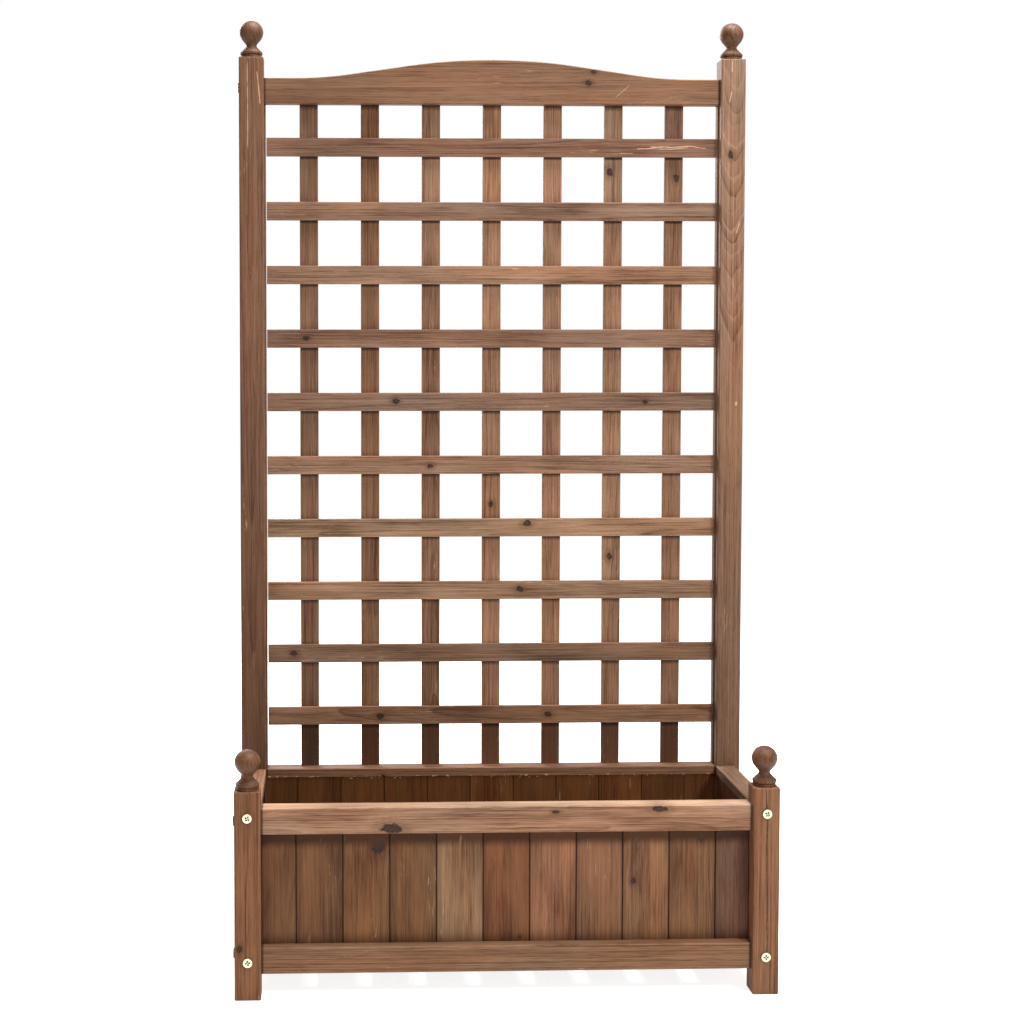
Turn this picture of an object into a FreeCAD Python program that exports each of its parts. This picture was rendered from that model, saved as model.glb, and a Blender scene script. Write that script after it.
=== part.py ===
import FreeCAD, Part
import os
import Sketcher
from FreeCAD import Placement, Rotation, Vector

# Planter box with a trellis behind it, in stained softwood, held together with bolts.
# Millimetres. X runs along the front, Y from front to back and Z up. The origin is on the
# ground, under the middle of the object.

doc = FreeCAD.newDocument("planter_with_trellis")
sheet = doc.addObject("Spreadsheet::Sheet", "sizes")

sizes = {
    # the frame, measured over the posts' outer faces
    "overall_width": 785,
    "overall_depth": 288,
    # posts
    "post_side": 38,
    "front_post_above_rail": 25.5,
    "rear_post_above_arch": 31,
    "post_arris": 2.5,
    "foot_bevel": 1.5,
    "top_bevel": 1.2,
    # rails: the upper ones hang below upper_rail_top, the lower ones stand above lower_rail_base
    "upper_rail_top": 276.5,
    "lower_rail_base": 36,
    "rail_tall": 38,
    "rail_deep": 30,
    "rail_setback": 8,
    "rail_arris": 1.2,
    "seat_deep": 11,
    "seat_lip": 13.5,
    # tongue-and-groove boards of the four panels
    "board_thick": 10,
    "board_joint": 1.2,
    "board_bevel": 0.8,
    "tongue_long": 4,
    "tongue_thick": 3,
    "tongue_slack": 0.2,
    "board_slack": 0.3,
    "main_panel_board_count": 9,
    "main_panel_end_wide": 49.85,
    "side_panel_board_count": 2,
    "side_panel_end_wide": 38.3,
    # arched rail: flat shoulders, a hollow bend and a straight slope on each side, one long arc over the top
    "arch_base": 1312,
    "arch_thick": 22,
    "arch_end_tall": 39,
    "arch_rise": 29,
    "arch_shoulder": 48,
    "arch_slope": 8.3,
    "arch_bend": 580,
    # trellis slats
    "slat_wide": 28.4,
    "slat_thick": 7.5,
    "slat_ease": 0.6,
    "row_count": 10,
    "top_row_drop": 66,
    "low_row_rise": 80.3,
    "row_gap": 1.2,
    "column_count": 7,
    "column_inset": 69.2,
    "column_lap": 20,
    "lap_slack": 0.2,
    # battens that close the trellis at the posts
    "batten_deep": 15,
    "batten_sunk": 8,
    "batten_proud": 2.5,
    "batten_slack": 0.1,
    # floor
    "bearer_wide": 18,
    "bearer_tall": 18,
    "floor_thick": 10,
    "floor_board_count": 9,
    "floor_gap": 4.7,
    "floor_slack": 0.5,
    # bolts, loose in the posts and tight in the rails' ends
    "bolt_wide": 6,
    "bolt_in_rail_long": 42,
    "bolt_head_wide": 15,
    "bolt_head_thick": 2.6,
    "bolt_loose": 0.3,
    "bolt_tight": 0.05,
    "bolt_end_gap": 0.3,
    "long_bolt_drop": 20,
    "long_bolt_rise": 28,
    "side_bolt_drop": 12,
    "side_bolt_rise": 19.5,
    "arch_bolt_rise": 25,
    # turned finials and the dowel screws that hold them
    "finial_tall": 57.5,
    "ball_wide": 37,
    "neck_wide": 16.4,
    "flare_wide": 29,
    "bead_wide": 34.6,
    "bead_tall": 4,
    "plinth_wide": 32.6,
    "plinth_tall": 4.4,
    "dowel_screw_wide": 6,
    "dowel_screw_long": 32,
}
for row, (alias, value) in enumerate(sizes.items(), start=1):
    sheet.set(f"A{row}", alias)
    sheet.set(f"B{row}", str(value))
    sheet.setAlias(f"B{row}", alias)
doc.recompute()


def size(formula):
    # the value of a formula on the sheet, as a plain number
    return float(sheet.evalExpression(formula))


# Places that several sub-parts share, as formulas on the sheet.
inner_half_width = "(sizes.overall_width / 2 - sizes.post_side)"
inner_half_depth = "(sizes.overall_depth / 2 - sizes.post_side)"
post_x = "(sizes.overall_width / 2 - sizes.post_side / 2)"
post_y = "(sizes.overall_depth / 2 - sizes.post_side / 2)"
upper_rail_base = "(sizes.upper_rail_top - sizes.rail_tall)"
board_face = "(sizes.rail_setback + sizes.rail_deep - sizes.seat_deep)"
bolt_in_rail = "(sizes.post_side / 2 - sizes.rail_setback)"
long_bolt_upper = "(sizes.upper_rail_top - sizes.long_bolt_drop)"
long_bolt_lower = "(sizes.lower_rail_base + sizes.long_bolt_rise)"
side_bolt_upper = "(sizes.upper_rail_top - sizes.side_bolt_drop)"
side_bolt_lower = "(sizes.lower_rail_base + sizes.side_bolt_rise)"
arch_bolt_height = "(sizes.arch_base + sizes.arch_bolt_rise)"
front_post_tall = "(sizes.upper_rail_top + sizes.front_post_above_rail)"
rear_post_tall = "(sizes.arch_base + sizes.arch_end_tall + sizes.rear_post_above_arch)"
column_span = f"(2 * {inner_half_width} - 2 * sizes.column_inset)"
column_pitch = f"({column_span} / (sizes.column_count - 1))"
trellis_back = "(sizes.overall_depth / 2 - sizes.post_side / 2 + sizes.arch_thick / 2)"


# --- how bodies, outlines and cuts are made ---

kept = []
near = 0.01  # places closer than this count as the same


def new_body(label, keep=True):
    body = doc.addObject("PartDesign::Body", label)
    body.Label = label
    if keep:
        kept.append(body)
    return body


def new_sketch(body, name, role, offset="0"):
    # an empty sketch on one of the body's own planes, moved along that plane's normal
    plane = next(p for p in body.Origin.OriginFeatures if p.Role == role)
    sketch = body.newObject("Sketcher::SketchObject", name)
    sketch.AttachmentSupport = [(plane, "")]
    sketch.MapMode = "FlatFace"
    sketch.setExpression("AttachmentOffset.Base.z", offset)
    return sketch


def pin(sketch, line, end, place):
    # ties one end of a line to its two formulas, measured from the sketch's origin
    for axis, formula in zip(("DistanceX", "DistanceY"), place):
        rule = Sketcher.Constraint(axis, -1, 1, line, end, size(formula))
        sketch.setExpression(f"Constraints[{sketch.addConstraint(rule)}]", formula)


def draw(sketch, corners, bends=None):
    # a closed outline through corners given as pairs of formulas; bends maps the number of a
    # side to (radius formula, True if the arc runs anticlockwise)
    bends = bends or {}
    places = [Vector(size(x), size(y), 0) for x, y in corners]
    first = sketch.GeometryCount
    total = len(places)
    for side in range(total):
        start, end = places[side], places[(side + 1) % total]
        if side in bends:
            radius, turn = size(bends[side][0]), 1 if bends[side][1] else -1
            chord = end - start
            normal = Vector(-chord.y, chord.x, 0).normalize() * turn
            rise = max(radius**2 - (chord.Length / 2) ** 2, 0) ** 0.5
            middle = (start + end) / 2 + normal * (rise - radius)
            sketch.addGeometry(Part.Arc(start, middle, end))
        else:
            sketch.addGeometry(Part.LineSegment(start, end))
    ends = []
    for side in range(total):
        # an arc that runs clockwise is stored with its two ends swapped
        swapped = side in bends and not bends[side][1]
        ends.append((2, 1) if swapped else (1, 2))
    for side in range(total):
        follower = (side + 1) % total
        sketch.addConstraint(Sketcher.Constraint(
            "Coincident", first + side, ends[side][1], first + follower, ends[follower][0]))
    for side in range(total):
        pin(sketch, first + side, ends[side][0], corners[side])
    for side, (radius, _) in bends.items():
        rule = Sketcher.Constraint("Radius", first + side, size(radius))
        sketch.setExpression(f"Constraints[{sketch.addConstraint(rule)}]", radius)


def draw_circle(sketch, place, diameter):
    x, y = size(place[0]), size(place[1])
    number = sketch.addGeometry(Part.Circle(Vector(x, y, 0), Vector(0, 0, 1), size(diameter) / 2))
    pin(sketch, number, 3, place)
    rule = Sketcher.Constraint("Diameter", number, size(diameter))
    sketch.setExpression(f"Constraints[{sketch.addConstraint(rule)}]", diameter)


def rectangle(left, right, low, high):
    return [(left, low), (right, low), (right, high), (left, high)]


def hexagon(place, wide):
    # corners of a hexagon that is as wide as given from flat to flat, with two corners along x
    x, y = place
    flat, point = f"({wide}) / 2", f"({wide}) / sqrt(3)"
    return [(f"{x} + {point}", y), (f"{x} + {point} / 2", f"{y} + {flat}"),
            (f"{x} - {point} / 2", f"{y} + {flat}"), (f"{x} - {point}", y),
            (f"{x} - {point} / 2", f"{y} - {flat}"), (f"{x} + {point} / 2", f"{y} - {flat}")]


def pad(body, sketch, length, side="One side", backwards=False):
    feature = body.newObject("PartDesign::Pad", f"{sketch.Name}_pad")
    feature.Profile = sketch
    feature.SideType = side
    feature.Reversed = backwards
    feature.setExpression("Length", length)
    doc.recompute()
    return feature


def cut(body, sketch, depth=None, side="One side", backwards=False):
    # a pocket of the given depth, or right through the body when no depth is given
    before = body.Shape.Volume
    feature = body.newObject("PartDesign::Pocket", f"{sketch.Name}_cut")
    feature.Profile = sketch
    feature.SideType = side
    feature.Reversed = backwards
    if depth:
        feature.setExpression("Length", depth)
    else:
        feature.Type = "ThroughAll"
    doc.recompute()
    if body.Shape.Volume >= before - 1e-3:
        raise RuntimeError(f"{feature.Name} cuts nothing")
    return feature


def repeat(body, feature, direction, pitch, count):
    # a row of copies of a cut along one of the body's axes
    axis = next(a for a in body.Origin.OriginFeatures if a.Role == direction)
    pattern = body.newObject("PartDesign::LinearPattern", f"{feature.Name}_row")
    pattern.Originals = [feature]
    pattern.Direction = (axis, [""])
    pattern.Mode = "Spacing"
    pattern.setExpression("Offset", pitch)
    pattern.setExpression("Occurrences", count)
    body.Tip = pattern
    doc.recompute()
    return pattern


def edges_where(feature, test):
    # names of the feature's edges whose box passes the test
    chosen = []
    for number, edge in enumerate(feature.Shape.Edges, start=1):
        if test(edge.BoundBox, edge):
            chosen.append(f"Edge{number}")
    return chosen


def ease(body, kind, amount, test):
    # rounds or bevels the edges of the body's last feature that pass the test
    base = body.Tip
    feature = body.newObject(f"PartDesign::{kind}", f"{body.Name}_{kind}")
    feature.Base = (base, edges_where(base, test))
    feature.setExpression("Radius" if kind == "Fillet" else "Size", amount)
    doc.recompute()
    return feature


def place(thing, places, turn=0.0, tilt=None):
    thing.Placement = Placement(Vector(), tilt or Rotation(Vector(0, 0, 1), turn))
    for axis, formula in zip("xyz", places):
        thing.setExpression(f"Placement.Base.{axis}", formula)


# The four walls. Seen from outside, a wall's own x runs to the right and its own y runs
# inwards from the posts' outer faces.
wall_turn = {"front": 0, "rear": 180, "left": -90, "right": 90}


def on_wall(wall, along, inward, up):
    half_width, half_depth = "sizes.overall_width / 2", "sizes.overall_depth / 2"
    return {
        "front": (f"{along}", f"-({half_depth}) + ({inward})", up),
        "rear": (f"-({along})", f"{half_depth} - ({inward})", up),
        "left": (f"-({half_width}) + ({inward})", f"-({along})", up),
        "right": (f"{half_width} - ({inward})", f"{along}", up),
    }[wall]


def group(label, members):
    # identical small pieces that share one node
    compound = doc.addObject("Part::Compound", label)
    compound.Label = label
    compound.Links = members
    kept.append(compound)
    doc.recompute()
    return compound


def copies(label, pattern_piece, spots):
    # one link to the piece for each spot, which is (wall or None, three formulas)
    links = []
    for number, (wall, places) in enumerate(spots, start=1):
        link = doc.addObject("App::Link", f"{label}_{number}")
        link.LinkedObject = pattern_piece
        place(link, places, wall_turn.get(wall, 0))
        links.append(link)
    return group(label, links)


# --- posts ---

dowel_screw_hole = "(sizes.dowel_screw_wide + 2 * sizes.bolt_tight)"


def make_post(label, x_side, y_side, tall):
    # square post with eased arrises, holes for the bolts of both rails, and a hole for the finial
    body = new_body(label)
    section = new_sketch(body, f"{label}_section", "XY_Plane")
    half = "sizes.post_side / 2"
    draw(section, rectangle(f"-({half})", half, f"-({half})", half))
    pad(body, section, tall)
    full = size(tall)
    ease(body, "Chamfer", "sizes.foot_bevel", lambda box, edge: box.ZMax < near)
    ease(body, "Chamfer", "sizes.top_bevel", lambda box, edge: box.ZMin > full - near)
    ease(body, "Fillet", "sizes.post_arris", lambda box, edge: box.ZLength > full / 2)

    loose_hole = "(sizes.bolt_wide + 2 * sizes.bolt_loose)"
    along_x = new_sketch(body, f"{label}_long_bolt_holes", "YZ_Plane")
    heights = [long_bolt_upper, long_bolt_lower]
    if y_side > 0:
        heights.append(arch_bolt_height)
    for height in heights:
        draw(along_x, hexagon(("0", height), loose_hole))
    cut(body, along_x, side="Symmetric")
    along_y = new_sketch(body, f"{label}_side_bolt_holes", "XZ_Plane")
    for height in (side_bolt_upper, side_bolt_lower):
        draw(along_y, hexagon(("0", height), loose_hole))
    cut(body, along_y, side="Symmetric")

    top_hole = new_sketch(body, f"{label}_finial_hole", "XY_Plane", tall)
    draw(top_hole, hexagon(("0", "0"), dowel_screw_hole))
    cut(body, top_hole, "sizes.dowel_screw_long / 2 + sizes.bolt_end_gap")

    if y_side > 0:
        # groove for the trellis batten, on the face towards the middle
        face = f"{-x_side} * ({half} - sizes.batten_sunk)"
        groove = new_sketch(body, f"{label}_batten_groove", "YZ_Plane", face)
        back = f"({trellis_back} - {post_y})"
        draw(groove, rectangle(
            f"{back} - sizes.batten_deep - sizes.batten_slack", f"{back} + sizes.batten_slack",
            "sizes.upper_rail_top", "sizes.arch_base"))
        cut(body, groove, "sizes.batten_sunk", backwards=x_side < 0)
    place(body, (f"{x_side} * {post_x}", f"{y_side} * {post_y}", "0"))


for x_side, x_name in ((-1, "left"), (1, "right")):
    make_post(f"front_post_{x_name}", x_side, -1, front_post_tall)
    make_post(f"rear_post_{x_name}", x_side, 1, rear_post_tall)


# --- finials ---

post_tops = [(f"{x_side} * {post_x}", f"{y_side} * {post_y}", tall)
             for y_side, tall in ((-1, front_post_tall), (1, rear_post_tall)) for x_side in (-1, 1)]


def make_finial():
    # turned from one block: plinth, bead, hollow flare and ball
    body = new_body("finial_pattern", keep=False)
    profile = new_sketch(body, "finial_profile", "XZ_Plane")
    plinth, bead = "sizes.plinth_wide / 2", "sizes.bead_wide / 2"
    flare, neck, ball = "sizes.flare_wide / 2", "sizes.neck_wide / 2", "sizes.ball_wide / 2"
    bead_base = "sizes.plinth_tall"
    bead_top = "(sizes.plinth_tall + sizes.bead_tall)"
    bead_bevel = f"({bead} - {plinth})"
    neck_height = f"(sizes.finial_tall - {ball} - sqrt(({ball})^2 - ({neck})^2))"
    hollow = f"(({neck_height} - {bead_top})^2 + ({flare} - {neck})^2) / 2 / ({flare} - {neck})"
    corners = [
        ("0", "0"),
        (plinth, "0"),
        (plinth, bead_base),
        (bead, f"{bead_base} + {bead_bevel}"),
        (bead, f"{bead_top} - {bead_bevel}"),
        (plinth, bead_top),
        (flare, bead_top),
        (neck, neck_height),
        ("0", "sizes.finial_tall"),
    ]
    draw(profile, corners, {6: (hollow, False), 7: (ball, True)})
    turning = body.newObject("PartDesign::Revolution", "finial_turning")
    turning.Profile = profile
    turning.ReferenceAxis = (profile, ["V_Axis"])
    doc.recompute()

    screw_hole = new_sketch(body, "finial_screw_hole", "XY_Plane")
    draw(screw_hole, hexagon(("0", "0"), dowel_screw_hole))
    cut(body, screw_hole, "sizes.dowel_screw_long / 2 + sizes.bolt_end_gap", backwards=True)
    return body


copies("finials", make_finial(), [(None, top) for top in post_tops])


# --- rails ---

def bolt_hole(body, name, end, spot, backwards):
    # a hole in a rail's end, tight on the bolt's shank and just longer than it
    hole = new_sketch(body, name, "YZ_Plane", end)
    draw(hole, hexagon(spot, "(sizes.bolt_wide + 2 * sizes.bolt_tight)"))
    cut(body, hole, "sizes.bolt_in_rail_long + sizes.bolt_end_gap", backwards=backwards)


def make_rail(label, wall, upper):
    # rail with a seat for the boards along its inner side and a hole for a bolt in each end
    long_wall = wall in ("front", "rear")
    half_length = inner_half_width if long_wall else inner_half_depth
    deep, tall = "sizes.rail_deep", "sizes.rail_tall"
    seat = "(sizes.rail_deep - sizes.seat_deep)"
    if upper:
        lip = "(sizes.rail_tall - sizes.seat_lip)"
        corners = [("0", "0"), (seat, "0"), (seat, lip), (deep, lip), (deep, tall), ("0", tall)]
        base = upper_rail_base
        bolt = long_bolt_upper if long_wall else side_bolt_upper
    else:
        lip = "sizes.seat_lip"
        corners = [("0", "0"), (deep, "0"), (deep, lip), (seat, lip), (seat, tall), ("0", tall)]
        base = "sizes.lower_rail_base"
        bolt = long_bolt_lower if long_wall else side_bolt_lower
    body = new_body(label)
    section = new_sketch(body, f"{label}_section", "YZ_Plane")
    draw(section, corners)
    pad(body, section, f"2 * {half_length}", side="Symmetric")
    outer_top, full_deep = size(tall), size(deep)
    ease(body, "Chamfer", "sizes.rail_arris", lambda box, edge: (
        box.YLength < near and box.ZLength < near
        and (box.YMax < near or (box.ZMin > outer_top - near and box.YMax > full_deep - near))))
    for end, name in ((-1, "left"), (1, "right")):
        bolt_hole(body, f"{label}_{name}_hole", f"{end} * {half_length}",
                  (bolt_in_rail, f"{bolt} - {base}"), end < 0)
    if wall == "rear" and upper:
        # laps at the back for the feet of the trellis's upright slats
        lap = new_sketch(body, f"{label}_lap", "XZ_Plane")
        half_lap = "(sizes.slat_wide / 2 + sizes.lap_slack)"
        first = f"-{column_span} / 2"
        draw(lap, rectangle(f"{first} - {half_lap}", f"{first} + {half_lap}",
                            f"{tall} - sizes.column_lap", tall))
        lap_cut = cut(body, lap, "sizes.slat_thick")
        repeat(body, lap_cut, "X_Axis", column_pitch, "sizes.column_count")
    place(body, on_wall(wall, "0", "sizes.rail_setback", base), wall_turn[wall])


for wall in wall_turn:
    make_rail(f"{wall}_top_rail", wall, True)
    make_rail(f"{wall}_bottom_rail", wall, False)


# --- boards of the four panels ---

board_base = "(sizes.lower_rail_base + sizes.seat_lip)"
board_tall = f"(sizes.upper_rail_top - sizes.seat_lip - {board_base} - sizes.board_slack)"


def make_board(label, wall, left, right, grooved, tongued, keep):
    # a board between two places along the wall, with a groove, a tongue or a plain sawn edge
    body = new_body(label, keep)
    section = new_sketch(body, f"{label}_section", "XY_Plane")
    bevel, thick = "sizes.board_bevel", "sizes.board_thick"
    tongue_low = "(sizes.board_thick - sizes.tongue_thick) / 2"
    tongue_high = "(sizes.board_thick + sizes.tongue_thick) / 2"
    reach = "(sizes.board_joint + sizes.tongue_long)"
    corners = [(left, bevel), (f"{left} + {bevel}", "0"), (f"{right} - {bevel}", "0"), (right, bevel)]
    if tongued:
        corners += [(right, tongue_low), (f"{right} + {reach}", tongue_low),
                    (f"{right} + {reach}", tongue_high), (right, tongue_high)]
    corners += [(right, thick), (left, thick)]
    if grooved:
        slack, floor = "sizes.tongue_slack", f"{left} + sizes.tongue_long + sizes.tongue_slack"
        corners += [(left, f"{tongue_high} + {slack}"), (floor, f"{tongue_high} + {slack}"),
                    (floor, f"{tongue_low} - {slack}"), (left, f"{tongue_low} - {slack}")]
    draw(section, corners)
    pad(body, section, board_tall)
    place(body, on_wall(wall, "0", board_face, board_base), wall_turn[wall])
    return body


def make_panel(wall, half_span, kind, keep):
    # full boards in the middle and a narrower one at each post
    full_count, end_board = f"sizes.{kind}_panel_board_count", f"sizes.{kind}_panel_end_wide"
    count = int(size(full_count))
    half_joint = "sizes.board_joint / 2"
    pitch = f"2 * ({half_span} - {end_board}) / {full_count}"
    seams = [f"{pitch} * ({n} - {full_count} / 2)" for n in range(count + 1)]
    lefts = [f"-{half_span} + sizes.board_slack"] + [f"{s} + {half_joint}" for s in seams]
    rights = [f"{s} - {half_joint}" for s in seams] + [f"{half_span} - sizes.board_slack"]
    boards = []
    for number, (left, right) in enumerate(zip(lefts, rights), start=1):
        boards.append(make_board(f"{wall}_board_{number:02d}", wall, left, right,
                                 number > 1, number < len(lefts), keep))
    return boards


make_panel("front", inner_half_width, "main", True)
group("rear_boards", make_panel("rear", inner_half_width, "main", False))
for wall in ("left", "right"):
    group(f"{wall}_boards", make_panel(wall, inner_half_depth, "side", False))


# --- floor ---

def make_bearer(label, wall):
    # runs along the foot of a long wall, against the lower rail
    bearer = doc.addObject("Part::Box", label)
    bearer.Label = label
    bearer.setExpression("Length", f"2 * {inner_half_width} - 2 * sizes.floor_slack")
    bearer.setExpression("Width", "sizes.bearer_wide")
    bearer.setExpression("Height", "sizes.bearer_tall")
    start = f"-{inner_half_width} + sizes.floor_slack"
    place(bearer, on_wall(wall, start, "sizes.rail_setback + sizes.rail_deep",
                          "sizes.lower_rail_base"), wall_turn[wall])
    kept.append(bearer)


for wall in ("front", "rear"):
    make_bearer(f"floor_bearer_{wall}", wall)

floor_boards = []
floor_count = int(size("sizes.floor_board_count"))
floor_span = f"(2 * {inner_half_width} - 2 * sizes.floor_slack)"
floor_step = f"(({floor_span} + sizes.floor_gap) / sizes.floor_board_count)"
for number in range(floor_count):
    board = doc.addObject("Part::Box", f"floor_board_{number + 1}")
    board.setExpression("Length", f"{floor_step} - sizes.floor_gap")
    board.setExpression("Width", f"2 * {inner_half_depth} - 2 * sizes.floor_slack")
    board.setExpression("Height", "sizes.floor_thick")
    place(board, (f"{number} * {floor_step} - {floor_span} / 2",
                  f"-{inner_half_depth} + sizes.floor_slack",
                  "sizes.lower_rail_base + sizes.bearer_tall"))
    floor_boards.append(board)
group("floor_boards", floor_boards)


# --- trellis ---

def make_arched_rail(label):
    body = new_body(label)
    profile = new_sketch(body, f"{label}_profile", "XZ_Plane")
    half, low, end = inner_half_width, "sizes.arch_base", "sizes.arch_end_tall"
    slope, bend = "sizes.arch_slope * 1 deg", "sizes.arch_bend"
    shoulder = f"({half} - sizes.arch_shoulder)"
    # the crown's radius follows from the slope, the rise and the bend at the shoulder
    crown = (f"(({shoulder} * sin({slope}) - sizes.arch_rise * cos({slope}))"
             f" / (1 - cos({slope})) - {bend})")
    run, lift = f"{bend} * sin({slope})", f"{bend} * (1 - cos({slope}))"
    crown_run, crown_lift = f"{crown} * sin({slope})", f"{crown} * (1 - cos({slope}))"
    top = "(sizes.arch_end_tall + sizes.arch_rise)"
    right_side = [
        (shoulder, end),
        (f"{shoulder} - {run}", f"{end} + {lift}"),
        (crown_run, f"{top} - {crown_lift}"),
    ]
    left_side = [(f"-({x})", y) for x, y in reversed(right_side)]
    corners = [(f"-{half}", "0"), (half, "0"), (half, end)] + right_side + left_side
    corners.append((f"-{half}", end))
    bends = {3: (bend, False), 5: (crown, True), 7: (bend, False)}
    draw(profile, corners, bends)
    pad(body, profile, "sizes.arch_thick", side="Symmetric")
    half_thick = size("sizes.arch_thick / 2")
    ease(body, "Chamfer", "sizes.rail_arris", lambda box, edge: (
        box.YLength < near and abs(abs(box.YMax) - half_thick) < near
        and box.XLength > box.ZLength))
    for side, name in ((-1, "left"), (1, "right")):
        bolt_hole(body, f"{label}_{name}_hole", f"{side} * {half}",
                  ("0", "sizes.arch_bolt_rise"), side < 0)

    lap = new_sketch(body, f"{label}_lap", "XZ_Plane", "-(sizes.arch_thick / 2 - sizes.slat_thick)")
    half_lap = "(sizes.slat_wide / 2 + sizes.lap_slack)"
    first = f"-{column_span} / 2"
    draw(lap, rectangle(f"{first} - {half_lap}", f"{first} + {half_lap}", "0", "sizes.column_lap"))
    lap_cut = cut(body, lap, "sizes.slat_thick")
    repeat(body, lap_cut, "X_Axis", column_pitch, "sizes.column_count")
    place(body, ("0", post_y, low))


make_arched_rail("arched_top_rail")


def make_slat(label, wide, deep, tall, places):
    # a plain stick with its long edges just eased, drawn as a section and padded along its length
    body = new_body(label)
    upright = size(tall) > size(wide)
    section = new_sketch(body, f"{label}_section", "XY_Plane" if upright else "YZ_Plane")
    across = wide if upright else deep
    rise = deep if upright else tall
    draw(section, rectangle(f"-({across}) / 2", f"({across}) / 2", f"-({rise}) / 2", f"({rise}) / 2"))
    pad(body, section, tall if upright else wide, side="One side" if upright else "Symmetric")
    length = size(tall if upright else wide)
    ease(body, "Chamfer", "sizes.slat_ease",
         lambda box, edge: (box.ZLength if upright else box.XLength) > length / 2)
    place(body, places)


row_y = f"({trellis_back} - 1.5 * sizes.slat_thick)"
row_long = f"2 * ({inner_half_width} - sizes.batten_proud - sizes.row_gap)"
top_row = "(sizes.arch_base - sizes.top_row_drop)"
low_row = "(sizes.upper_rail_top + sizes.low_row_rise)"
for number in range(int(size("sizes.row_count"))):
    height = f"{top_row} - {number} * ({top_row} - {low_row}) / (sizes.row_count - 1)"
    make_slat(f"trellis_row_{number + 1:02d}", row_long, "sizes.slat_thick", "sizes.slat_wide",
              ("0", row_y, height))

column_y = f"({trellis_back} - sizes.slat_thick / 2)"
column_foot = "(sizes.upper_rail_top - sizes.column_lap)"
column_long = f"(sizes.arch_base + sizes.column_lap - sizes.lap_slack - {column_foot})"
for number in range(int(size("sizes.column_count"))):
    across = f"({number} - (sizes.column_count - 1) / 2) * {column_pitch}"
    make_slat(f"trellis_column_{number + 1}", "sizes.slat_wide", "sizes.slat_thick", column_long,
              (across, column_y, column_foot))

batten_wide = "(sizes.batten_sunk + sizes.batten_proud - sizes.batten_slack)"
for side, name in ((-1, "left"), (1, "right")):
    middle = f"{side} * ({inner_half_width} - sizes.batten_proud + {batten_wide} / 2)"
    make_slat(f"trellis_batten_{name}", batten_wide, "sizes.batten_deep",
              "(sizes.arch_base - sizes.upper_rail_top)",
              (middle, f"{trellis_back} - sizes.batten_deep / 2", "sizes.upper_rail_top"))


# --- bolts and dowel screws ---

def make_bolt():
    # flat round head on the post's face; the shank, drawn with six sides, runs inwards along +Y
    body = new_body("bolt_pattern", keep=False)
    head = new_sketch(body, "bolt_head", "XZ_Plane")
    draw_circle(head, ("0", "0"), "sizes.bolt_head_wide")
    pad(body, head, "sizes.bolt_head_thick")
    shank = new_sketch(body, "bolt_shank", "XZ_Plane")
    draw(shank, hexagon(("0", "0"), "sizes.bolt_wide"))
    pad(body, shank, "sizes.post_side + sizes.bolt_in_rail_long", backwards=True)
    return body


bolt = make_bolt()
side_spots = [(wall, f"{end} * {post_x}", height) for wall in ("front", "rear")
              for end in (-1, 1) for height in (side_bolt_upper, side_bolt_lower)]
long_spots = [(wall, f"{end} * {post_y}", height) for wall in ("left", "right")
              for end in (-1, 1) for height in (long_bolt_upper, long_bolt_lower)]
arch_spots = [("left", f"-{post_y}", arch_bolt_height), ("right", post_y, arch_bolt_height)]
for label, spots in (("side_rail_bolts", side_spots), ("long_rail_bolts", long_spots),
                     ("arched_rail_bolts", arch_spots)):
    copies(label, bolt, [(wall, on_wall(wall, along, "0", up)) for wall, along, up in spots])

dowel_screws = []
for number, (x, y, top) in enumerate(post_tops, start=1):
    screw = doc.addObject("Part::Prism", f"dowel_screw_{number}")
    screw.Polygon = 6
    screw.setExpression("Circumradius", "sizes.dowel_screw_wide / sqrt(3)")
    screw.setExpression("Height", "sizes.dowel_screw_long")
    place(screw, (x, y, f"{top} - sizes.dowel_screw_long / 2"))
    dowel_screws.append(screw)
group("finial_dowel_screws", dowel_screws)


# --- check and write ---

doc.recompute()
for thing in doc.Objects:
    if "Invalid" in thing.State or "Error" in thing.State:
        raise RuntimeError(f"{thing.Label} has not been made: {thing.State}")
os.makedirs("parts", exist_ok=True)
for part in kept:
    shape = part.Shape
    if shape.isNull() or not shape.isValid():
        raise RuntimeError(f"{part.Label} has no valid shape")
    shape.exportStep(f"parts/{part.Label}.step")
print(f"{len(kept)} nodes, {sum(len(part.Shape.Solids) for part in kept)} solids")
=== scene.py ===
import math
import random
import bpy
from mathutils import Matrix, Vector


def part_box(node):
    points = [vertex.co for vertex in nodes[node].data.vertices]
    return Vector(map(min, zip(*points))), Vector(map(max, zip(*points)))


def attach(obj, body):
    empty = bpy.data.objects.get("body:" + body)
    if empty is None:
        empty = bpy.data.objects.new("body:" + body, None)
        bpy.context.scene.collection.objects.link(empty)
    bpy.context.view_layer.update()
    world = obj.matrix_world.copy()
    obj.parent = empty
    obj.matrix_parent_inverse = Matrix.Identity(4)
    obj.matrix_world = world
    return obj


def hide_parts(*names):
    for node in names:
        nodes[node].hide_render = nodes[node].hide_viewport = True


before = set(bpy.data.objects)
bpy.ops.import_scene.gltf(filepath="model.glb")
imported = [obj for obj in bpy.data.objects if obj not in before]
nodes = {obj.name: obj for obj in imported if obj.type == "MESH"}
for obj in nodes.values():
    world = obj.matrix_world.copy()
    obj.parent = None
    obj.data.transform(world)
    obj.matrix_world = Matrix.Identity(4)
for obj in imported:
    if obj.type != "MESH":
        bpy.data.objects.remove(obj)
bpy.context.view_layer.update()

scene = bpy.context.scene
mm = 0.001
print("frame loaded:", len(nodes), "wooden and metal parts")

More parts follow.
